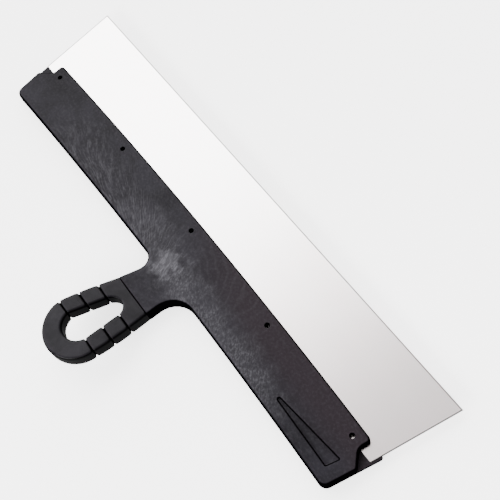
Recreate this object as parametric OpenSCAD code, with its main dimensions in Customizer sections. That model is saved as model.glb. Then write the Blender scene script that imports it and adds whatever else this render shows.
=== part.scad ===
// Wide blade knife: a thin steel blade gripped by a moulded bar, with a raised loop handle.
// X runs along the blade, +Y points to the working edge and +Z is the side that faces up in use.
// The underside of the bar lies on Z = 0. All sizes are in millimetres and angles in degrees.

/* [Blade] */
// Length of the working edge
blade_w = 450; // [300:1:600]
// Length of the blade's back edge
blade_back_w = 429.6; // [290:0.2:590]
// Height of the blade from working edge to back edge
blade_h = 67.6; // [64:0.2:90]
// Thickness of the blade
blade_t = 0.6; // [0.4:0.1:1.2]

/* [Bar] */
// Bare blade in front of the bar at mid length
blade_reach = 54.4; // [44:0.2:76]
// Bar depth, front edge to back edge
bar_depth = 43.6; // [36:0.2:60]
// Plastic under the blade
under_t = 5.4; // [4:0.2:9]
// Plastic over the blade
over_t = 6; // [4:0.2:9]
// How far the bar's ends fall behind its middle
bar_bow = 4.4; // [0:0.2:8]
// Slant of the bar's end walls
end_slant = 10.4; // [4:0.2:16]
// Blade corner left standing past the bar's end
end_reveal = 1; // [0:0.1:3]
// Sideways set of the bar on the blade
bar_shift = 2; // [-3:0.1:3]
// Ledge of the lower shell past the upper one, left end
left_ledge = 3.2; // [0:0.1:4]
// Radius of the bar's back corners
corner_r = 6; // [3:0.5:10]
// Radius of the moulding's top and bottom edges
edge_r = 1.8; // [0.8:0.1:2.4]

/* [End notches] */
// Length of blade corner that each notch uncovers
notch_w = 12; // [8:0.5:18]
// Depth of the notch's bottom behind the front edge
notch_d = 10; // [7:0.5:14]
// Length of the notch's run-out to the end wall
notch_run = 9; // [6:0.5:12]
// Sideways lean of the notch's side wall
notch_lean = 1.5; // [0:0.1:3]
// Radius of the bar's corner beside the notch
notch_corner_r = 3; // [2:0.5:4]
// Radius in the bottom of the notch
notch_root_r = 6; // [3:0.5:7]

/* [Support pin holes] */
// Number of holes along each face
pin_count = 5; // [3:2:7]
// Distance between neighbouring holes
pin_pitch = 96.6; // [40:0.2:110]
// Hole diameter
pin_d = 3.9; // [2:0.1:5]
// Hole line behind the front edge
pin_set = 8.5; // [5:0.5:12]

/* [Tang keys] */
// Diameter of the plastic keys through the blade
key_d = 4; // [2:0.5:5]
// Key line in front of the blade's back edge
key_set = 4.5; // [3.5:0.5:8]
// Length of key in the plastic on either side
key_reach = 2; // [1:0.5:3]

/* [Wedge recess] */
// Place of the tip from mid length
wedge_x = 146; // [60:1:150]
// Length of the recess
wedge_len = 55; // [20:1:60]
// Width of the wide end
wedge_w = 9.8; // [5:0.2:16]
// Width of the rounded tip
wedge_tip_w = 2; // [1:0.5:4]
// Tip's distance in front of the back edge
wedge_set = 11.2; // [9:0.2:20]
// How far the wide end swings away from the back edge
wedge_turn = 3.6; // [0:0.2:6]
// Slant of the wide end
wedge_slant = 1.2; // [0:0.2:3]
// Depth of the recess
wedge_depth = 1.1; // [0.4:0.1:2]

/* [Neck] */
// Handle's place from mid length
handle_x = 16.9; // [-60:0.1:60]
// Length from the bar's back edge to the joint with the loop
neck_len = 27.4; // [22:0.2:50]
// Width at the joint
neck_w = 38.8; // [32:0.2:46]
// How far the neck's left side leans in towards the bar
neck_lean = 7.4; // [0:0.2:9]
// Fillet where the neck meets the bar, left side
fillet_left = 10; // [4:0.5:14]
// Fillet where the neck meets the bar, right side
fillet_right = 18; // [4:0.5:20]

/* [Grip loop] */
// Width of the loop at its round end
loop_w = 50.6; // [47:0.2:70]
// Thickness of the loop, straight down
loop_t = 12; // [8:0.2:12]
// Upward tilt of the loop's arms; its round end is level
loop_tilt = 16; // [0:1:25]
// Radius of the loop's long edges
loop_edge_r = 2.4; // [1:0.1:3.2]
// Solid web between the joint and the opening
web_len = 9.4; // [7:0.2:12]
// Opening width at its front end
open_front_w = 15.8; // [12:0.2:19]
// Opening width at its back end
open_back_w = 23.4; // [16:0.2:27]
// Width of the bow at the loop's end
bow_w = 15.2; // [11:0.2:20]

/* [Grip grooves] */
// Grooves across each arm; the last one lies where the round end starts
groove_count = 3; // [2:1:5]
// Distance from the joint to the first groove
groove_start = 15.6; // [13.6:0.2:22]
// Distance between grooves
groove_pitch = 14.4; // [10:0.2:20]
// Groove width at the surface
groove_w = 1.4; // [0.8:0.1:2.4]
// Groove depth
groove_depth = 1; // [0.4:0.1:1.6]

/* [Hidden] */

blade_low = under_t;
blade_top = under_t + blade_t;
top_z = blade_top + over_t;
overlap = 1;                 // cutters run this far past the faces they open
round_steps = 3;             // facets in a rounded edge
corner_steps = 5;            // facets in a rounded corner of an outline

front_y = -blade_reach;
back_y = front_y - bar_depth;
neck_y = back_y - neck_len;

bar_half = blade_back_w / 2 - end_reveal;
wall_slope = tan(end_slant);
groove_half = groove_w / 2;
blunt_r = 1;                 // corners of an outline that are barely rounded
front_points = 18;           // extra points along the bar's bowed front edge
back_points = 8;             // extra points along its back edge, on either side of the neck

// The loop is laid out from the joint: s runs back from it and u across it.
loop_r = loop_w / 2;
arm_len = groove_start + (groove_count - 1) * groove_pitch;
loop_len = arm_len + loop_r;
open_front_r = open_front_w / 2;
open_back_r = open_back_w / 2;
open_front_s = web_len + open_front_r;
open_back_s = loop_len - bow_w - open_back_r;
first_s = groove_start - groove_half;
last_s = arm_len + groove_half;
flare_power = 1.5;           // how fast the arms' outer sides spread
web_steps = 5;               // stations along the front edge of the web
side_steps = 3;              // stations from there to the first groove
arm_steps = 2;               // stations between two grooves
cap_steps = 14;              // stations round a quarter of the round end

// Half of the depth from the working edge to the loop's end puts the origin at the
// middle of the footprint.
edge_y = (loop_len - neck_y) / 2;

// Half length of the bar at a distance y behind the working edge, before it is bowed
function end_x(y) = bar_half + (y + blade_h - bar_bow) * wall_slope;

// The bar curves back towards its ends
function bowed(p) = [p[0], p[1] - bar_bow * pow((p[0] - bar_shift) / bar_half, 2)];

function unit(v) = v / norm(v);
function left_of(v) = [-v[1], v[0]];
function turn(a, b) = a[0] * b[1] - a[1] * b[0];
function flat(lists) = [for (list = lists) for (item = list) item];

// An outline is a list of [x, y, corner radius, extra points along the next edge],
// counter-clockwise. These functions move it inwards and round its corners.
function edge_dir(path, i) =
    let (n = len(path), a = path[(i + n) % n], b = path[(i + 1) % n])
    unit([b[0] - a[0], b[1] - a[1]]);

function inset_corner(path, i, d) =
    let (
        n1 = left_of(edge_dir(path, i - 1)),
        n2 = left_of(edge_dir(path, i)),
        side = sign(turn(n1, n2)),
        shift = d * (n1 + n2) / (1 + n1 * n2)
    )
    [path[i][0] + shift[0], path[i][1] + shift[1], max(path[i][2] - side * d, 0.05), path[i][3]];

function inset(path, d) = [for (i = [0:len(path) - 1]) inset_corner(path, i, d)];

function corner_points(path, i) =
    let (
        d1 = edge_dir(path, i - 1),
        d2 = edge_dir(path, i),
        side = sign(turn(d1, d2)),
        bend = acos(min(1, d1 * d2)),
        reach = path[i][2] * tan(bend / 2),
        start = [path[i][0], path[i][1]] - d1 * reach,
        centre = start + side * left_of(d1) * path[i][2]
    )
    [for (k = [0:corner_steps])
        let (a = bend * k / corner_steps)
        centre + path[i][2] * (d1 * sin(a) - side * left_of(d1) * cos(a))];

function edge_points(from, to, count) =
    count > 0 ? [for (k = [1:count]) from + (to - from) * k / (count + 1)] : [];

function outline(path) =
    let (n = len(path), corners = [for (i = [0:n - 1]) corner_points(path, i)])
    flat([for (i = [0:n - 1])
        concat(corners[i], edge_points(corners[i][corner_steps], corners[(i + 1) % n][0], path[i][3]))]);

// Rounded edge as pairs of [inset, height below the face]
function edge_profile(r) =
    [for (k = [0:round_steps]) let (a = 90 * k / round_steps) [r * (1 - cos(a)), r * (1 - sin(a))]];

function placed(path) = [for (p = outline(path)) let (q = bowed(p)) [q[0], q[1] + edge_y]];

// Slab with the outline's upright walls
module slab(path, low, high) {
    translate([0, 0, low]) linear_extrude(high - low) polygon(placed(path));
}

// Closed band that runs round an outline and takes the sharp edge off a slab's face at
// height z: up is 1 on top and -1 below.
module edge_cutter(path, z, up) {
    section = concat(
        [for (e = edge_profile(edge_r)) [e[0], z - up * e[1]]],
        [[edge_r, z + up * overlap], [-overlap, z + up * overlap], [-overlap, z - up * edge_r]]);
    rings = [for (e = section) [for (p = placed(inset(path, e[0]))) [p[0], p[1], e[1]]]];
    n = len(rings[0]);
    m = len(rings);
    faces = [for (k = [0:m - 1]) for (i = [0:n - 1])
        let (a = k * n + i, b = k * n + (i + 1) % n, next = ((k + 1) % m - k) * n)
        up > 0 ? [a, b, b + next, a + next] : [a + next, b + next, b, a]];
    polyhedron(flat(rings), faces, convexity = 8);
}

// Cuts the neck off where the loop starts, with a V groove all round the joint
module neck_end_cut() {
    reach = loop_w + 4 * overlap;
    bar = groove_half * sqrt(2);
    translate([handle_x, neck_y + edge_y, 0]) {
        translate([-reach / 2, -reach, -overlap]) cube([reach, reach, top_z + 2 * overlap]);
        for (z = [0, top_z]) translate([0, 0, z])
            rotate([45, 0, 0]) cube([reach, bar, bar], center = true);
        for (side = [-1, 1]) translate([side * neck_w / 2, 0, top_z / 2])
            rotate([0, 0, 45]) cube([bar, bar, 2 * top_z], center = true);
    }
}

// Outline of the neck, from its fillet on the right to its fillet on the left. It runs past
// the joint, because neck_end_cut() gives it its end.
function neck_path() =
    let (
        half = neck_w / 2,
        past = edge_r + 2 * overlap,
        lean = neck_lean / neck_len
    )
    [
        [handle_x + half, back_y, fillet_right, 0],
        [handle_x + half, neck_y - past, blunt_r, 0],
        [handle_x - half - lean * past, neck_y - past, blunt_r, 0],
        [handle_x - half + neck_lean, back_y, fillet_left, back_points]
    ];

function lower_path() =
    let (xf = end_x(front_y), xb = end_x(back_y))
    reverse(concat(
        [[bar_shift + xf, front_y, blunt_r, 0], [bar_shift + xb, back_y, corner_r, back_points]],
        neck_path(),
        [
            [bar_shift - xb - left_ledge, back_y, corner_r, 0],
            [bar_shift - xf - left_ledge, front_y, blunt_r, front_points]
        ]));

function upper_path() =
    let (
        xb = end_x(back_y),
        xf = end_x(front_y) - notch_w,
        dip_y = front_y - notch_d,
        out_y = dip_y - notch_run,
        xo = end_x(out_y),
        dip_x = xf - notch_lean
    )
    reverse(concat(
        [
            [bar_shift + xf, front_y, notch_corner_r, 0],
            [bar_shift + dip_x, dip_y, notch_root_r, 0],
            [bar_shift + xo, out_y, blunt_r, 0],
            [bar_shift + xb, back_y, corner_r, back_points]
        ],
        neck_path(),
        [
            [bar_shift - xb, back_y, corner_r, 0],
            [bar_shift - xo, out_y, blunt_r, 0],
            [bar_shift - dip_x, dip_y, notch_root_r, 0],
            [bar_shift - xf, front_y, notch_corner_r, front_points]
        ]));

// Turns a clockwise path round, and keeps each edge's extra points on the same edge
function reverse(path) =
    let (n = len(path))
    [for (i = [n - 1:-1:0]) [path[i][0], path[i][1], path[i][2], path[(i + n - 1) % n][3]]];

function pin_x(i) = bar_shift + (i - (pin_count - 1) / 2) * pin_pitch;

// One hole of the row on the hole line
module at_pins() {
    for (i = [0:pin_count - 1])
        translate([pin_x(i), bowed([pin_x(i), front_y - pin_set])[1] + edge_y, 0]) children();
}

// Two keys stand in each space between the pin holes
module at_keys() {
    for (i = [0:pin_count - 2], third = [1, 2])
        translate([pin_x(i) + third * pin_pitch / 3, edge_y - blade_h + key_set, 0]) children();
}

module key_shapes(d) {
    at_keys() translate([0, 0, blade_low - key_reach])
        cylinder(d = d, h = blade_t + 2 * key_reach, $fn = 48);
}

module blade_sheet(h) {
    linear_extrude(h)
        polygon([
            [-blade_w / 2, edge_y],
            [-blade_back_w / 2, edge_y - blade_h],
            [blade_back_w / 2, edge_y - blade_h],
            [blade_w / 2, edge_y]
        ]);
}

module blade() {
    color("gainsboro")
    difference() {
        translate([0, 0, blade_low]) blade_sheet(blade_t);
        at_keys() translate([0, 0, blade_low - overlap])
            cylinder(d = key_d, h = blade_t + 2 * overlap, $fn = 48);
    }
}

// The recess narrows to a rounded tip
module wedge_recess() {
    tip = bowed([wedge_x, back_y + wedge_set]);
    far = bowed([wedge_x + wedge_len, back_y + wedge_set + wedge_turn]);
    end = [wedge_slant, wedge_w / 2];
    translate([0, edge_y, top_z - wedge_depth])
        linear_extrude(wedge_depth + overlap)
            polygon(concat(
                [for (a = [90:30:270]) tip + wedge_tip_w / 2 * [cos(a), sin(a)]],
                [far - end, far + end]));
}

module upper_shell() {
    color("#37353a")
    difference() {
        slab(upper_path(), blade_low, top_z);
        edge_cutter(upper_path(), top_z, 1);
        neck_end_cut();
        translate([0, 0, blade_low - overlap]) blade_sheet(blade_t + overlap);
        at_pins() translate([0, 0, blade_low])
            cylinder(d = pin_d, h = top_z - blade_low + overlap, $fn = 48);
        key_shapes(key_d);
        wedge_recess();
    }
}

module lower_shell() {
    color("#2b292e")
    difference() {
        slab(lower_path(), 0, blade_low);
        edge_cutter(lower_path(), 0, -1);
        neck_end_cut();
        at_pins() translate([0, 0, -overlap])
            cylinder(d = pin_d, h = blade_low + 2 * overlap, $fn = 48);
        key_shapes(key_d);
    }
}

module tang_keys() {
    color("#2b292e") key_shapes(key_d);
}

// The arms climb from the joint, and the round end stays level
function rise(s) = tan(loop_tilt) * max(0, min(s, arm_len));

function outer_half(s) =
    s < arm_len ? loop_r - (loop_r - neck_w / 2) * pow(1 - s / arm_len, flare_power)
    : sqrt(pow(loop_r, 2) - pow(s - arm_len, 2));

function inner_half(s) =
    s < open_front_s ? sqrt(max(0, pow(open_front_r, 2) - pow(open_front_s - s, 2)))
    : s > open_back_s ? sqrt(max(0, pow(open_back_r, 2) - pow(s - open_back_s, 2)))
    : open_front_r + (open_back_r - open_front_r) * (s - open_front_s) / (open_back_s - open_front_s);

// A station is [outer point, inner point, sink, outer edge radius].
function arm_station(s, sink) = [[outer_half(s), s], [inner_half(s), s], sink, loop_edge_r];

// The web fans out from the joint and then up its side, to the first groove.
function web_stations() =
    let (steps = web_steps + side_steps)
    [for (k = [0:steps - 1])
        let (
            inner_s = web_len + (first_s - web_len) * (1 - cos(90 * k / steps)),
            outer_s = first_s * (k - web_steps) / side_steps
        )
        [
            k > web_steps ? [outer_half(outer_s), outer_s] : [neck_w / 2 * k / web_steps, 0],
            [inner_half(inner_s), inner_s],
            0,
            k < web_steps ? groove_half : loop_edge_r
        ]];

function groove_stations(s) = [
    arm_station(s - groove_half, 0),
    arm_station(s, groove_depth),
    arm_station(s + groove_half, 0)
];

function between_grooves(s) =
    [for (i = [1:arm_steps]) arm_station(s + groove_pitch * i / (arm_steps + 1), 0)];

function arm_stations() = flat([for (k = [0:groove_count - 1])
    let (s = groove_start + k * groove_pitch)
    concat(groove_stations(s), k < groove_count - 1 ? between_grooves(s) : [])]);

function cap_stations() =
    let (
        outer_a = asin(groove_half / loop_r),
        inner_a = asin(max(0, (last_s - open_back_s) / open_back_r))
    )
    [for (k = [1:cap_steps])
        let (a = outer_a + (90 - outer_a) * k / cap_steps, b = inner_a + (90 - inner_a) * k / cap_steps)
        [
            [loop_r * cos(a), arm_len + loop_r * sin(a)],
            [open_back_r * cos(b), open_back_s + open_back_r * sin(b)],
            0,
            loop_edge_r
        ]];

function half_stations() = concat(web_stations(), arm_stations(), cap_stations());

function mirrored(station) =
    [[-station[0][0], station[0][1]], [-station[1][0], station[1][1]], station[2], station[3]];

function loop_stations() =
    let (right = half_stations(), n = len(right))
    concat(right, [for (i = [n - 2:-1:1]) mirrored(right[i])]);

// Point of a section: e is its [inset, height below the face] from a corner at p
function low_point(p, across, sink, e) =
    let (q = p + across * (sink + e[0]))
    [q[0], q[1], sink + e[1] + rise(q[1])];

function high_point(p, across, sink, e) =
    let (q = p + across * (sink + e[0]))
    [q[0], q[1], loop_t - sink - e[1] + rise(q[1])];

// One closed section, from the outer wall's foot up, across the top and down the inner wall
function section(station) =
    let (
        across = unit(station[1] - station[0]),
        sink = station[2],
        outer = edge_profile(station[3]),
        inner = edge_profile(loop_edge_r)
    )
    concat(
        [for (k = [round_steps:-1:0]) low_point(station[0], across, sink, outer[k])],
        [for (e = outer) high_point(station[0], across, sink, e)],
        [for (k = [round_steps:-1:0]) high_point(station[1], -across, sink, inner[k])],
        [for (e = inner) low_point(station[1], -across, sink, e)]
    );

module grip_loop() {
    sections = [for (station = loop_stations()) section(station)];
    count = len(sections);
    n = len(sections[0]);
    faces = [for (k = [0:count - 1]) for (i = [0:n - 1])
        let (next = (k + 1) % count, j = (i + 1) % n)
        [k * n + i, k * n + j, next * n + j, next * n + i]];
    color("#302e33")
    translate([handle_x, neck_y + edge_y, top_z - loop_t])
        rotate([0, 0, 180])
            polyhedron(flat(sections), faces, convexity = 8);
}

blade();
upper_shell();
lower_shell();
tang_keys();
grip_loop();
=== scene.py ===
import math

import bmesh
import bpy
from mathutils import Matrix, Vector


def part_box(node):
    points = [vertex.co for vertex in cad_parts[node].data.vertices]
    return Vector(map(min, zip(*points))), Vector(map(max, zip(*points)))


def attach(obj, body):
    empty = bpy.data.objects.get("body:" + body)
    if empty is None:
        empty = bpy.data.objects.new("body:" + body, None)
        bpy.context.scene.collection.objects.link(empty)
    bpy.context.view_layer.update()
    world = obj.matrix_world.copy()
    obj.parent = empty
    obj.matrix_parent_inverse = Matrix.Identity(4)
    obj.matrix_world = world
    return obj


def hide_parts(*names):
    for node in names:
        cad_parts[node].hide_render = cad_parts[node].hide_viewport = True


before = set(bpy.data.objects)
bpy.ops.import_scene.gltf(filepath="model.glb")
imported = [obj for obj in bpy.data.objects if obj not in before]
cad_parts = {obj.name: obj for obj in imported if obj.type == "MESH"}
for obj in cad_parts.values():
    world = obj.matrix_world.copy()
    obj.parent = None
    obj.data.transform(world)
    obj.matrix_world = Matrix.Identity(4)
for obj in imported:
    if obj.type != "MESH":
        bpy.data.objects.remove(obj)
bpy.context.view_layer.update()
scene = bpy.context.scene
mm = 0.001

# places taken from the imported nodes, in millimetres
bladeBox = [[c / mm for c in corner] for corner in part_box("blade")]
upperBox = [[c / mm for c in corner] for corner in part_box("upper_shell")]
loopBox = [[c / mm for c in corner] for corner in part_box("grip_loop")]
workEdge = bladeBox[1][1]          # y of the working edge
bladeLow, bladeTop = bladeBox[0][2], bladeBox[1][2]
barTop = upperBox[1][2]
jointY = upperBox[0][1]            # y of the joint between neck and loop
handleX = (loopBox[0][0] + loopBox[1][0]) / 2
print("frame read")

# camera, light and floor
view = {
    "place": (0.34886, -0.03521, 0.59854),
    "aim": (0.04067, 0.05956, 0.006),
    "roll": -21.124,
    "lens": 66.96,
    "sensor": 36,
}


def makeCamera():
    data = bpy.data.cameras.new("camera")
    data.lens = view["lens"]
    data.sensor_width = view["sensor"]
    camera = bpy.data.objects.new("camera", data)
    scene.collection.objects.link(camera)
    place = Vector(view["place"])
    facing = (Vector(view["aim"]) - place).to_track_quat("-Z", "Y").to_matrix()
    turned = facing @ Matrix.Rotation(math.radians(view["roll"]), 3, "Z")
    camera.matrix_world = Matrix.Translation(place) @ turned.to_4x4()
    scene.camera = camera


def addSoftbox(name, place, aim, size, power, colour):
    data = bpy.data.lights.new(name, "AREA")
    data.shape = "RECTANGLE"
    data.size, data.size_y = size
    data.energy = power
    data.color = colour
    light = bpy.data.objects.new(name, data)
    light.location = place
    light.rotation_euler = (Vector(aim) - Vector(place)).to_track_quat("-Z", "Y").to_euler()
    scene.collection.objects.link(light)


makeCamera()
print("camera made")


# shader maths
class Signal:
    # wraps an output socket, and arithmetic on it adds Math nodes
    tree = None

    def __init__(self, socket):
        self.socket = socket

    @classmethod
    def add(cls, kind, settings=None, inputs=None, output=0):
        node = cls.tree.nodes.new(kind)
        for key, value in (settings or {}).items():
            setattr(node, key, value)
        for key, value in (inputs or {}).items():
            if isinstance(value, Signal):
                cls.tree.links.new(value.socket, node.inputs[key])
            else:
                node.inputs[key].default_value = value
        return cls(node.outputs[output])

    @classmethod
    def maths(cls, operation, *values):
        return cls.add("ShaderNodeMath", {"operation": operation}, dict(enumerate(values)))

    def __add__(self, other):
        return Signal.maths("ADD", self, other)

    def __sub__(self, other):
        return Signal.maths("SUBTRACT", self, other)

    def __rsub__(self, other):
        return Signal.maths("SUBTRACT", other, self)

    def __mul__(self, other):
        return Signal.maths("MULTIPLY", self, other)

    def __truediv__(self, other):
        return Signal.maths("DIVIDE", self, other)

    def __abs__(self):
        return Signal.maths("ABSOLUTE", self)

    __radd__ = __add__


def newMaterial(name):
    material = bpy.data.materials.new(name)
    material.use_nodes = True
    Signal.tree = material.node_tree
    shader = material.node_tree.nodes["Principled BSDF"]
    return material, shader


socketNames = {
    "baseColor": "Base Color",
    "roughness": "Roughness",
    "normal": "Normal",
    "metallic": "Metallic",
    "specular": "Specular IOR Level",
    "coat": "Coat Weight",
    "coatRoughness": "Coat Roughness",
    "glowColour": "Emission Color",
    "glow": "Emission Strength",
}


def feed(shader, **inputs):
    for name, value in inputs.items():
        spot = shader.inputs[socketNames[name]]
        if isinstance(value, Signal):
            Signal.tree.links.new(value.socket, spot)
        else:
            spot.default_value = value


def millimetres(centre=(0, 0, 0)):
    # object coordinates in millimetres, from a centre
    at = Signal.add("ShaderNodeTexCoord", output="Object")
    return Signal.add("ShaderNodeMapping", {"vector_type": "POINT"},
                      {"Vector": at, "Location": [-c for c in centre], "Scale": (1 / mm, 1 / mm, 1 / mm)})


def parts(vector):
    split = Signal.tree.nodes.new("ShaderNodeSeparateXYZ")
    Signal.tree.links.new(vector.socket, split.inputs[0])
    return [Signal(socket) for socket in split.outputs]


def joined(x, y, z):
    return Signal.add("ShaderNodeCombineXYZ", None, {0: x, 1: y, 2: z})


def upwards():
    # 1 on flat top and bottom faces, 0 on upright walls
    return abs(parts(Signal.add("ShaderNodeNewGeometry", output="Normal"))[2])


def noise(vector, scale, detail=3.0, roughness=0.55, distortion=0.0):
    return Signal.add("ShaderNodeTexNoise", {"noise_dimensions": "3D"},
                      {"Vector": vector, "Scale": scale, "Detail": detail, "Roughness": roughness,
                       "Distortion": distortion})


def ease(value, low, high):
    # 0 below low, 1 above high, smooth between them
    return Signal.add("ShaderNodeMapRange", {"interpolation_type": "SMOOTHSTEP"},
                      {"Value": value, "From Min": low, "From Max": high})


def mixColours(factor, first, second):
    return Signal.add("ShaderNodeMix", {"data_type": "RGBA"}, {0: factor, 6: first, 7: second}, output=2)


def blotch(vector, centre, reach, wobble):
    # soft spot around a centre, ragged by the wobble signal
    x, y, _ = parts(vector)
    across = (x - centre[0]) / reach[0]
    along = (y - centre[1]) / reach[1]
    far = Signal.maths("SQRT", across * across + along * along)
    return 1 - ease(far + wobble, 0.25, 1.1)


def bumped(height, strength, distance):
    return Signal.add("ShaderNodeBump", None, {"Strength": strength, "Distance": distance, "Height": height})


# the studio air is bright on the left, and the blade mirrors it
air = {
    "dim": 1.25,
    "bright": 9.5,
    "turnsAt": -0.24,
    "fullAt": -0.58,
    "tint": (1, 0.985, 0.985, 1),
}
rim = {
    "place": (0.5, -1.9, 0.8),
    "aim": (0, -0.05, 0),
    "size": (1.6, 0.5),
    "power": 150,
    "colour": (1, 0.995, 0.99),
}


def makeStudioAir():
    world = bpy.data.worlds.new("studioAir")
    world.use_nodes = True
    scene.world = world
    Signal.tree = world.node_tree
    x = parts(Signal.add("ShaderNodeTexCoord", output="Generated"))[0]
    glow = air["dim"] + ease(x, air["turnsAt"], air["fullAt"]) * (air["bright"] - air["dim"])
    background = world.node_tree.nodes["Background"]
    background.inputs["Color"].default_value = air["tint"]
    Signal.tree.links.new(glow.socket, background.inputs["Strength"])


makeStudioAir()
addSoftbox("rimSoftbox", rim["place"], rim["aim"], rim["size"], rim["power"], rim["colour"])
print("light made")

charcoal = {
    "dark": (0.0044, 0.0040, 0.0051, 1),
    "light": (0.0082, 0.0076, 0.0097, 1),
    "warm": (0.0090, 0.0066, 0.0083, 1),
    "mark": (0.052, 0.051, 0.057, 1),
    # painted shade for the upright walls and steep rounded edges
    "wall": (0.0004, 0.0004, 0.0005, 1),
    "warmShare": 0.85,
    "flatFrom": 0.86,
    "sheen": 0.075,
    "sheenRoughness": 0.38,
    "bump": 0.35,
    "bumpDepth": 0.00025,
}

# grey flow marks, in millimetres from the gate; shares are how much of the mark colour they bring
flow = {
    "gate": (12, 4, 0),              # where the melt came in, at the foot of the neck
    "fanX": 12, "fanY": 26,          # the strokes fan out from this far behind the gate
    "strokes": 66, "fineStrokes": 150,
    "strokeShare": 0.55, "fineShare": 0.6,
    "leftStart": (4, -34), "leftEnd": (-186, -120),
    "leftBase": 0.01, "leftShare": 0.4, "leftFloor": 0.22,
    "rightCentre": (76, -4), "rightReach": (92, 24),
    "rightBase": 0.12, "rightShare": 0.46,
    "patchCentre": (-1, 2), "patchReach": (12, 16),
    "patchBase": 0.26, "patchShare": 0.26,
    "haloCentre": (-16, 3), "haloReach": (52, 26),
    "haloBase": 0.04, "haloStrokes": 0.16, "haloShare": 0.24,
    "ringPitch": 0.8, "ringDrift": 26, "ringCentre": 40, "ringReach": (60, 20), "ringShare": 0.045,
    "freckleShare": 0.12,
}


def mouldedCharcoal():
    material, shader = newMaterial("mouldedCharcoal")
    place = millimetres(flow["gate"])
    x, y, _ = parts(place)
    drift = noise(place, 0.022, 2.0, 0.5) - 0.5
    ragged = noise(place, 0.11, 4.0, 0.62) - 0.5

    # strokes fan out from the neck, and show on the left wing
    reach = Signal.maths("SQRT", x * x + y * y)
    slope = (y + flow["fanY"]) / (abs(x) + flow["fanX"]) + drift * 0.12
    streaks = noise(joined(slope * flow["strokes"], reach * 0.09, x * 0.004), 1.0, 3.5, 0.62, 0.12)
    finer = noise(joined(slope * flow["fineStrokes"], reach * 0.2, x * 0.01), 1.0, 3.0, 0.65, 0.1)
    strokes = ease(streaks, 0.46, 0.66) * flow["strokeShare"] + ease(finer, 0.50, 0.68) * flow["fineShare"]
    sideways = ease(x, *flow["leftStart"]) * ease(x, *flow["leftEnd"])
    backwards = flow["leftFloor"] + ease(y + drift * 22, 32, 10) * (1 - flow["leftFloor"])
    leftFan = sideways * backwards * (flow["leftBase"] + strokes * flow["leftShare"])

    # frozen ripples lie across the flow on the right wing
    turned = joined(x * 0.72 + y * 0.7, x * -0.3 + y * 0.34, 0)
    ripples = ease(noise(turned, 0.75, 4.0, 0.72, 0.35), 0.42, 0.68)
    rightFan = blotch(place, flow["rightCentre"], flow["rightReach"], drift + ragged)
    rightFan = rightFan * (flow["rightBase"] + ripples * flow["rightShare"])

    # a pale crazed patch at the gate, and a fainter halo round it
    crazed = noise(joined(x * 0.9 + y * 0.35, y * 0.22 - x * 0.1, 0), 0.62, 4.0, 0.7, 0.7)
    patch = blotch(place, flow["patchCentre"], flow["patchReach"], ragged * 2.4)
    patch = patch * (flow["patchBase"] + ease(crazed, 0.42, 0.62) * flow["patchShare"])
    halo = blotch(place, flow["haloCentre"], flow["haloReach"], ragged * 1.6)
    halo = halo * (flow["haloBase"] + strokes * flow["haloStrokes"]
                   + ease(crazed, 0.45, 0.68) * flow["haloShare"])

    # faint rings round the gate, and freckles everywhere
    wave = Signal.maths("SINE", reach * flow["ringPitch"] + drift * flow["ringDrift"])
    rings = ease(wave, 0.4, 1.0) * ease(abs(x - flow["ringCentre"]), *flow["ringReach"])
    freckle = ease(noise(place, 0.5, 4.0, 0.7), 0.42, 0.75)
    marks = (leftFan + rightFan + patch + halo
             + rings * flow["ringShare"] + freckle * flow["freckleShare"])

    mottle = noise(place, 0.045, 5.0, 0.6, 0.4)
    ground = mixColours(ease(mottle, 0.3, 0.7), charcoal["dark"], charcoal["light"])
    warmth = ease(x + y * 1.6, 10, 120) * ease(y, 2, 26)
    ground = mixColours(warmth * charcoal["warmShare"], ground, charcoal["warm"])
    tone = mixColours(Signal.maths("MINIMUM", marks, 1.0), ground, charcoal["mark"])

    # the upright walls and steep rounded edges take no flow marks, and their colour is painted dark as shade
    face = ease(upwards(), charcoal["flatFrom"], 1.0)
    tone = mixColours(face, charcoal["wall"], tone)

    grain = noise(place, 2.6, 3.0, 0.6)
    height = grain * 0.35 + ragged * 0.5 + ease(wave, -1.0, 1.0) * 0.12 + streaks * 0.3
    feed(shader, baseColor=tone, specular=0.0, roughness=0.8, coat=face * charcoal["sheen"],
         coatRoughness=charcoal["sheenRoughness"],
         normal=bumped(height, charcoal["bump"], charcoal["bumpDepth"]))
    return material


gripTone = {
    "dark": (0.0050, 0.0048, 0.0058, 1),
    "light": (0.0095, 0.0090, 0.0108, 1),
    # painted shade for the upright walls and steep rounded edges
    "wall": (0.0004, 0.0004, 0.0005, 1),
    # painted shade in the grooves
    "groove": (0.0003, 0.0003, 0.0003, 1),
    "flatFrom": 0.7,
    "grooveShadeFrom": 0.15,
    "grooveShadeFull": 0.8,
    "wallShare": 0.4,           # sheen of the walls, as a share of the top's
    "sheen": 0.1,
    "sheenRoughness": 0.24,
    "bump": 0.25,
    "bumpDepth": 0.0002,
}


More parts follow.
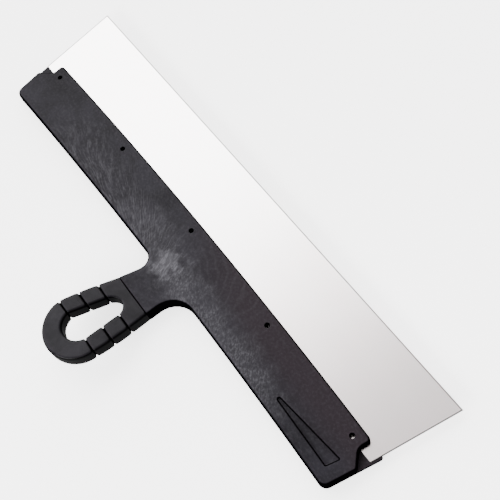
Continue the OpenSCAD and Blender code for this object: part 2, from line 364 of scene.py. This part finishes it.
def smoothGrip():
    material, shader = newMaterial("smoothGrip")
    place = millimetres((handleX, jointY, 0))
    mottle = noise(place, 0.09, 4.0, 0.6, 0.5)
    scuff = noise(place, 0.35, 4.0, 0.65, 0.8)
    grain = noise(place, 2.8, 3.0, 0.6)
    tone = mixColours(ease(mottle + scuff * 0.3, 0.4, 0.9), gripTone["dark"], gripTone["light"])
    face = ease(upwards(), gripTone["flatFrom"], 1.0)
    # the upright walls and steep rounded edges are painted dark as shade
    tone = mixColours(face, gripTone["wall"], tone)
    # the grooves are painted dark as shade, by the groove share each point carries
    sunk = Signal.add("ShaderNodeAttribute", {"attribute_name": "sunk"}, output="Fac")
    paintedGrooveShade = ease(sunk, gripTone["grooveShadeFrom"], gripTone["grooveShadeFull"])
    tone = mixColours(paintedGrooveShade, tone, gripTone["groove"])
    sheen = (gripTone["wallShare"] + face * (1 - gripTone["wallShare"])) * gripTone["sheen"]
    feed(shader, baseColor=tone, specular=0.0, roughness=0.8, coat=sheen,
         coatRoughness=gripTone["sheenRoughness"],
         normal=bumped(grain * 0.3 + scuff * 0.5, gripTone["bump"], gripTone["bumpDepth"]))
    return material


# the blade's outline, and its look
sheet = {"height": 67.6, "half": 225.0, "backHalf": 214.8, "edge": 0.09}
steel = {
    "bright": (0.93, 0.91, 0.905, 1),
    "dull": (0.87, 0.80, 0.795, 1),
    # painted shade along the sheared edge and both ends
    "edgeShade": (0.035, 0.035, 0.035, 1),
    "edgeShadeFrom": 0.5,
    "edgeShadeTo": 1.05,
    "brightAt": 60,             # x of the bright part, the dull part, and how far clouds shift them
    "dullAt": 260,
    "cloudShift": 170,
    "roughness": 0.13,
    "bump": 0.04,
    "bumpDepth": 0.00005,
}
bladeLean = (sheet["half"] - sheet["backHalf"]) / sheet["height"]


def groundSteel():
    material, shader = newMaterial("groundSteel")
    place = millimetres()
    x, y, _ = parts(place)
    lines = noise(joined(x * 0.012, y * 5.5, 0), 1.0, 3.0, 0.6)
    cloud = noise(joined(x * 0.02, y * 0.035, 0), 1.0, 3.0, 0.5, 0.5)
    smear = noise(joined(x * 0.004, y * 0.6, 0), 1.0, 2.0, 0.5)
    # the steel colour is bright towards the left and dull, warmer towards the right, with the boundary
    # shifted by clouds
    brightShare = ease(x + cloud * steel["cloudShift"], steel["dullAt"], steel["brightAt"])
    tone = mixColours(brightShare, steel["dull"], steel["bright"])
    # a dark line of painted shade runs along the sheared edge and both ends
    fromEnd = sheet["half"] + (y - workEdge) * bladeLean - abs(x)
    fromRim = Signal.maths("MINIMUM", fromEnd, workEdge - y)
    tone = mixColours(ease(fromRim, steel["edgeShadeFrom"], steel["edgeShadeTo"]), steel["edgeShade"], tone)
    feed(shader, baseColor=tone, metallic=1.0, roughness=steel["roughness"] + lines * 0.07 + smear * 0.05,
         normal=bumped(lines, steel["bump"], steel["bumpDepth"]))
    return material


# the floor glows a little, to come near white, and lies just under the piece
floorLook = {
    "low": (0.66, 0.66, 0.66, 1),
    "high": (0.68, 0.68, 0.68, 1),
    "glow": 2.4,
    "size": 5,
    "height": -0.0001,
}


def paleFloor():
    material, shader = newMaterial("paleFloor")
    grain = noise(millimetres(), 0.4, 3.0, 0.5)
    tone = mixColours(grain, floorLook["low"], floorLook["high"])
    feed(shader, baseColor=tone, roughness=0.9, specular=0.1, glowColour=(1, 1, 1, 1), glow=floorLook["glow"])
    return material


plastic, gripPlastic, bladeSteel = mouldedCharcoal(), smoothGrip(), groundSteel()
print("materials made")


def makeFloor():
    bm = bmesh.new()
    bmesh.ops.create_grid(bm, x_segments=1, y_segments=1, size=floorLook["size"])
    mesh = bpy.data.meshes.new("floor")
    bm.to_mesh(mesh)
    bm.free()
    mesh.materials.append(paleFloor())
    floor = bpy.data.objects.new("floor", mesh)
    floor.location.z = floorLook["height"]
    scene.collection.objects.link(floor)


makeFloor()


# modelling helpers; pieces are drawn in millimetres
same = 0.0005           # points this close are one point
level = 0.001           # and heights this close are one height


def finishPiece(name, bm, material, sharpAngle=38):
    bmesh.ops.remove_doubles(bm, verts=bm.verts, dist=same)
    bmesh.ops.recalc_face_normals(bm, faces=bm.faces)
    for edge in bm.edges:
        edge.smooth = edge.calc_face_angle(math.pi) < math.radians(sharpAngle)
    for side in bm.faces:
        side.smooth = True
    openEdges = [edge for edge in bm.edges if not edge.is_manifold]
    bmesh.ops.transform(bm, matrix=Matrix.Scale(mm, 4), verts=bm.verts)
    mesh = bpy.data.meshes.new(name)
    bm.to_mesh(mesh)
    bm.free()
    mesh.materials.append(material)
    piece = bpy.data.objects.new(name, mesh)
    scene.collection.objects.link(piece)
    # weighted normals keep the flat faces flat beside their bevels
    step = piece.modifiers.new("flatFaces", "WEIGHTED_NORMAL")
    step.keep_sharp = True
    print(name, len(mesh.polygons), "faces,", len(openEdges), "open edges")
    return piece


def roundedFace(bm, corners):
    # a flat face from (x, y, radius) corners, each rounded
    spots = [bm.verts.new((x, y, 0)) for x, y, radius in corners]
    bm.faces.new(spots)
    for n, (x, y, radius) in enumerate(corners):
        here = Vector((x, y))
        back = here - Vector(corners[n - 1][:2])
        ahead = Vector(corners[(n + 1) % len(corners)][:2]) - here
        reach = radius * math.tan(back.angle(ahead) / 2)
        bmesh.ops.bevel(bm, geom=[spots[n]], offset=reach, offset_type="OFFSET", segments=8,
                        profile=0.5, affect="VERTICES", material=-1)


def raised(bm, low, high):
    # the flat face becomes a slab from low to high
    bmesh.ops.translate(bm, vec=(0, 0, low), verts=bm.verts)
    made = bmesh.ops.extrude_face_region(bm, geom=bm.faces[:])
    lifted = [item for item in made["geom"] if isinstance(item, bmesh.types.BMVert)]
    bmesh.ops.translate(bm, vec=(0, 0, high - low), verts=lifted)
    bmesh.ops.recalc_face_normals(bm, faces=bm.faces)


def levelEdges(bm, height, test=None):
    return [edge for edge in bm.edges
            if all(abs(vert.co.z - height) < level for vert in edge.verts)
            and (test is None or all(test(vert.co) for vert in edge.verts))]


def soften(bm, edges, radius, segments):
    bmesh.ops.bevel(bm, geom=edges, offset=radius, offset_type="OFFSET", segments=segments,
                    profile=0.5, affect="EDGES", clamp_overlap=False, material=-1)


def cutAway(bm, cutters):
    # takes closed cutters away from a closed shape, and returns the new bmesh
    def asObject(name, shape):
        mesh = bpy.data.meshes.new(name)
        shape.to_mesh(mesh)
        shape.free()
        made = bpy.data.objects.new(name, mesh)
        scene.collection.objects.link(made)
        return made

    body = asObject("cutBody", bm)
    tools = [asObject("cutTool", cutter) for cutter in cutters]
    for tool in tools:
        step = body.modifiers.new("cut", "BOOLEAN")
        step.operation = "DIFFERENCE"
        step.solver = "EXACT"
        step.object = tool
    shape = body.evaluated_get(bpy.context.evaluated_depsgraph_get())
    result = bmesh.new()
    result.from_mesh(shape.to_mesh())
    shape.to_mesh_clear()
    for made in [body] + tools:
        bpy.data.objects.remove(made)
    bmesh.ops.remove_doubles(result, verts=result.verts, dist=same)
    return result


# the moulded bar, in two shells that meet at the underside of the blade
bar = {
    "reach": 54.4, "depth": 43.6, "bow": 4.4, "half": 213.8, "shift": 2.0, "slant": 10.4,
    "ledge": 3.2, "cornerR": 6.0, "bluntR": 1.9, "edgeR": 1.8, "edgeSteps": 5,
    "notchW": 12.0, "notchD": 10.0, "notchRun": 9.0, "notchLean": 1.5,
    "notchCornerR": 3.0, "notchRootR": 6.0,
    "neckHalf": 19.4, "neckLean": 7.4, "filletLeft": 10.0, "filletRight": 18.0,
    "past": 4.0,                     # how far the neck is drawn past the joint, before it is cut there
    "jointEdge": 0.8,
    "bowFrom": 60, "bowCuts": 15,    # edges longer than this are cut up so that they can bow
}
pins = {"count": 5, "pitch": 96.6, "across": 3.9, "set": 8.5, "edge": 0.28, "sides": 40, "margin": 0.1}
wedge = {
    "x": 146.0, "length": 55.0, "wide": 9.8, "tip": 2.0, "set": 11.2, "turn": 3.6, "slant": 1.2,
    "depth": 1.1, "edge": 1.0, "tipRound": 0.9, "wideR": 0.5,
    "beforeX": 4, "pastX": 5, "nearY": 2, "farY": 19,      # room round its rim
}
through = 1             # how far cutters stand past what they cut

frontY = workEdge - bar["reach"]
backY = frontY - bar["depth"]
neckLen = backY - jointY


def bowedY(x, y):
    return y - bar["bow"] * ((x - bar["shift"]) / bar["half"]) ** 2


def endX(y):
    fromBack = y - workEdge + sheet["height"] - bar["bow"]
    return bar["half"] + fromBack * math.tan(math.radians(bar["slant"]))


def neckCorners():
    lean = bar["neckLean"] / neckLen
    endY = jointY - bar["past"]
    left = handleX - bar["neckHalf"]
    right = handleX + bar["neckHalf"]
    return [
        (left + bar["neckLean"], backY, bar["filletLeft"]),
        (left - lean * bar["past"], endY, bar["bluntR"]),
        (right, endY, bar["bluntR"]),
        (right, backY, bar["filletRight"]),
    ]


def lowerCorners():
    shift, xf, xb = bar["shift"], endX(frontY), endX(backY)
    left = shift - bar["ledge"]
    return ([(shift + xf, frontY, bar["bluntR"]), (left - xf, frontY, bar["bluntR"]),
             (left - xb, backY, bar["cornerR"])] + neckCorners() + [(shift + xb, backY, bar["cornerR"])])


def upperCorners():
    shift, xb = bar["shift"], endX(backY)
    xf = endX(frontY) - bar["notchW"]
    dipX, dipY = xf - bar["notchLean"], frontY - bar["notchD"]
    outY = dipY - bar["notchRun"]
    xo = endX(outY)
    half = [(xf, frontY, bar["notchCornerR"]), (dipX, dipY, bar["notchRootR"]), (xo, outY, bar["bluntR"]),
            (xb, backY, bar["cornerR"])]
    return ([(shift - x, y, radius) for x, y, radius in half] + neckCorners()
            + [(shift + x, y, radius) for x, y, radius in reversed(half)])


def barSlab(corners, low, high, rimHeight):
    bm = bmesh.new()
    roundedFace(bm, corners)
    longEdges = [edge for edge in bm.edges if edge.calc_length() > bar["bowFrom"]]
    bmesh.ops.subdivide_edges(bm, edges=longEdges, cuts=bar["bowCuts"])
    for vert in bm.verts:
        vert.co.y = bowedY(vert.co.x, vert.co.y)
    raised(bm, low, high)
    soften(bm, levelEdges(bm, rimHeight), bar["edgeR"], bar["edgeSteps"])
    # the neck is cut off at the joint, and its end edge broken
    cut = bmesh.ops.bisect_plane(bm, geom=bm.verts[:] + bm.edges[:] + bm.faces[:], dist=level,
                                 plane_co=(0, jointY, 0), plane_no=(0, -1, 0), clear_outer=True)
    ends = [item for item in cut["geom_cut"] if isinstance(item, bmesh.types.BMEdge)]
    bmesh.ops.contextual_create(bm, geom=ends)
    keep = [edge for edge in ends if edge.is_valid
            and not all(abs(vert.co.z - bladeLow) < level for vert in edge.verts)]
    soften(bm, keep, bar["jointEdge"], 3)
    return bm


def pinPlaces():
    for n in range(pins["count"]):
        x = bar["shift"] + (n - (pins["count"] - 1) / 2) * pins["pitch"]
        yield x, bowedY(x, frontY - pins["set"])


def pinCutter(x, y, low, high):
    bm = bmesh.new()
    radius = pins["across"] / 2
    bmesh.ops.create_cone(bm, cap_ends=True, segments=pins["sides"], radius1=radius, radius2=radius,
                          depth=high - low, matrix=Matrix.Translation((x, y, (low + high) / 2)))
    return bm


def wedgeCutter():
    tipX, tipY = wedge["x"], bowedY(wedge["x"], backY + wedge["set"])
    farX = wedge["x"] + wedge["length"]
    farY = bowedY(farX, backY + wedge["set"] + wedge["turn"])
    tipR, wideR = wedge["tip"] / 2, wedge["wide"] / 2
    bm = bmesh.new()
    roundedFace(bm, [
        (tipX - tipR, tipY + tipR, tipR * wedge["tipRound"]),
        (tipX - tipR, tipY - tipR, tipR * wedge["tipRound"]),
        (farX - wedge["slant"], farY - wideR, wedge["wideR"]),
        (farX + wedge["slant"], farY + wideR, wedge["wideR"]),
    ])
    raised(bm, barTop - wedge["depth"], barTop + through)
    return bm


def bladeCutter(low, high):
    bm = bmesh.new()
    backLine = workEdge - sheet["height"]
    spots = [bm.verts.new((x, y, 0)) for x, y in (
        (-sheet["half"], workEdge), (-sheet["backHalf"], backLine),
        (sheet["backHalf"], backLine), (sheet["half"], workEdge))]
    bm.faces.new(spots)
    raised(bm, low, high)
    return bm


def nearPin(co):
    near = pins["across"] / 2 + pins["margin"]
    return any(math.hypot(co.x - x, co.y - y) < near for x, y in pinPlaces())


def inWedge(co):
    # true round the wedge recess, and false at the rim of the bar
    start = wedge["x"] - wedge["beforeX"]
    end = wedge["x"] + wedge["length"] + wedge["pastX"]
    return start < co.x < end and backY + wedge["nearY"] < co.y < backY + wedge["farY"]


def makeUpper():
    bm = barSlab(upperCorners(), bladeLow, barTop, barTop)
    cutters = [pinCutter(x, y, bladeLow - through, barTop + through) for x, y in pinPlaces()]
    bm = cutAway(bm, cutters + [wedgeCutter(), bladeCutter(bladeLow - through, bladeTop)])
    soften(bm, levelEdges(bm, barTop, nearPin), pins["edge"], 2)
    soften(bm, levelEdges(bm, barTop, inWedge), wedge["edge"], 3)
    soften(bm, levelEdges(bm, barTop - wedge["depth"], inWedge), wedge["edge"], 2)
    return finishPiece("upper_moulding", bm, plastic)


def makeLower():
    bm = barSlab(lowerCorners(), 0, bladeLow, 0)
    bm = cutAway(bm, [pinCutter(x, y, -through, bladeLow + through) for x, y in pinPlaces()])
    soften(bm, levelEdges(bm, 0, nearPin), pins["edge"], 2)
    return finishPiece("lower_moulding", bm, plastic)


upper = makeUpper()
lower = makeLower()
for piece, node in ((upper, "upper_shell"), (lower, "lower_shell")):
    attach(piece, "root")
    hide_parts(node)
print("bar made")


# the blade keeps its outline and holes, and gets the edges of both ends broken
def makeBlade():
    bm = bmesh.new()
    bm.from_mesh(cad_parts["blade"].data)
    bmesh.ops.transform(bm, matrix=Matrix.Scale(1 / mm, 4), verts=bm.verts)
    bmesh.ops.remove_doubles(bm, verts=bm.verts, dist=level)
    bmesh.ops.dissolve_limit(bm, angle_limit=math.radians(1), verts=bm.verts, edges=bm.edges)
    ends = [edge for edge in bm.edges if edge.calc_face_angle(0) > 1
            and all(abs(vert.co.x) > sheet["backHalf"] - 0.01 for vert in edge.verts)]
    soften(bm, ends, sheet["edge"], 2)
    return finishPiece("blade_sheet", bm, bladeSteel)


blade = makeBlade()
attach(blade, "root")
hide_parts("blade")
print("blade made")

# the grip loop: a closed band, pinched at its grooves
grip = {
    "grooveStart": 15.6, "groovePitch": 14.4, "grooves": 3, "grooveDepth": 1.1, "grooveHalf": 0.62,
    "pillow": 0.2, "pillowReach": 2.0, "tilt": 16.0, "webLen": 9.4, "frontR": 7.9, "backR": 11.7, "bow": 15.2,
    "flare": 1.5, "edgeR": 2.4, "jointR": 0.9, "thick": 12.0,
    "webSteps": 8, "sideSteps": 18, "armSteps": 18, "capSteps": 30, "roundSteps": 4,
    "crowd": 0.75, "capCrowd": 1.35,       # how closely the sections crowd at the grooves
    "capFade": 0.8,                        # how slowly the last groove's shoulder fades round the end
}
capR = (loopBox[1][0] - loopBox[0][0]) / 2
armLen = grip["grooveStart"] + (grip["grooves"] - 1) * grip["groovePitch"]
frontS = grip["webLen"] + grip["frontR"]
backS = armLen + capR - grip["bow"] - grip["backR"]


def rise(s):
    return math.tan(math.radians(grip["tilt"])) * max(0.0, min(s, armLen))


def outerHalf(s):
    return capR - (capR - bar["neckHalf"]) * (1 - s / armLen) ** grip["flare"]


def innerHalf(s):
    if s < frontS:
        return math.sqrt(max(0, grip["frontR"] ** 2 - (frontS - s) ** 2))
    if s > backS:
        return math.sqrt(max(0, grip["backR"] ** 2 - (s - backS) ** 2))
    return grip["frontR"] + (grip["backR"] - grip["frontR"]) * (s - frontS) / (backS - frontS)


def sunkAt(s):
    # how far the surface lies in at a distance from the joint, and how much of it is groove
    off = min(abs(s - grip["grooveStart"] - n * grip["groovePitch"]) for n in range(grip["grooves"]))
    groove = math.exp(-(off / grip["grooveHalf"]) ** 2)
    shoulder = math.exp(-off / grip["pillowReach"])
    return grip["grooveDepth"] * groove + grip["pillow"] * shoulder, groove


def loopStations():
    # (outer point, inner point, sunk, groove, outer edge radius), from the middle of the web
    # along one side to the middle of the round end, then back along the other side
    stations = []
    first = grip["webSteps"] + grip["sideSteps"]
    for k in range(first):
        along = 1 - math.cos(math.pi / 2 * k / first)
        innerS = grip["webLen"] + (grip["grooveStart"] - grip["webLen"]) * along
        if k < grip["webSteps"]:
            outer = (bar["neckHalf"] * k / grip["webSteps"], 0.0)
            stations.append((outer, (innerHalf(innerS), innerS), 0.0, 0.0, grip["jointR"]))
        else:
            s = grip["grooveStart"] * (k - grip["webSteps"]) / grip["sideSteps"]
            sunk, groove = sunkAt(s)
            stations.append(((outerHalf(s), s), (innerHalf(innerS), innerS), sunk, groove, grip["edgeR"]))
    arm = grip["armSteps"] * (grip["grooves"] - 1)
    for k in range(arm + 1):
        t = k / grip["armSteps"]
        t -= math.sin(2 * math.pi * t) / (2 * math.pi) * grip["crowd"]
        s = grip["grooveStart"] + grip["groovePitch"] * t
        sunk, groove = sunkAt(s)
        stations.append(((outerHalf(min(s, armLen)), s), (innerHalf(s), s), sunk, groove, grip["edgeR"]))
    startB = math.asin(min(1, max(0, (armLen - backS) / grip["backR"])))
    for k in range(1, grip["capSteps"] + 1):
        t = (k / grip["capSteps"]) ** grip["capCrowd"]
        a, b = math.pi / 2 * t, startB + (math.pi / 2 - startB) * t
        outer = (capR * math.cos(a), armLen + capR * math.sin(a))
        inner = (grip["backR"] * math.cos(b), backS + grip["backR"] * math.sin(b))
        sunk, groove = sunkAt(armLen + (outer[1] - armLen) * grip["capFade"])
        stations.append((outer, inner, sunk, groove, grip["edgeR"]))
    mirrored = [((-outer[0], outer[1]), (-inner[0], inner[1]), *rest)
                for outer, inner, *rest in stations[-2:0:-1]]
    return stations + mirrored


def sectionSpots(station):
    # rounded section of the band at a station
    outer, inner = Vector(station[0]), Vector(station[1])
    sunk, outerR, innerR = station[2], station[4], grip["edgeR"]
    across = (inner - outer).normalized()
    steps = grip["roundSteps"]
    quarter = [math.pi / 2 * k / steps for k in range(steps + 1)]
    corners = (
        (outer, across, outerR, reversed(quarter), False),
        (outer, across, outerR, quarter, True),
        (inner, -across, innerR, reversed(quarter), True),
        (inner, -across, innerR, quarter, False),
    )
    spots = []
    for base, way, radius, turns, top in corners:
        for a in turns:
            at = base + way * (sunk + radius * (1 - math.cos(a)))
            lift = sunk + radius * (1 - math.sin(a))
            height = grip["thick"] - lift if top else lift
            spots.append((handleX + at.x, jointY - at.y, barTop - grip["thick"] + height + rise(at.y)))
    return spots


def makeGrip():
    stations = loopStations()
    rings = [sectionSpots(station) for station in stations]
    bm = bmesh.new()
    bmesh.ops.create_grid(bm, x_segments=len(rings[0]), y_segments=len(rings), size=1)
    bm.verts.ensure_lookup_table()
    # each point carries its groove share, which the grip material uses for painted groove shade
    sunk = bm.verts.layers.float.new("sunk")
    wide = len(rings[0]) + 1
    for n, vert in enumerate(bm.verts):
        row, column = divmod(n, wide)
        vert.co = rings[row % len(rings)][column % len(rings[0])]
        vert[sunk] = stations[row % len(rings)][3]
    return finishPiece("grip_band", bm, gripPlastic, sharpAngle=60)


gripBand = makeGrip()
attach(gripBand, "root")
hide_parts("grip_loop")
print("grip made")

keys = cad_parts["tang_keys"]
keys.data.materials.clear()
keys.data.materials.append(plastic)
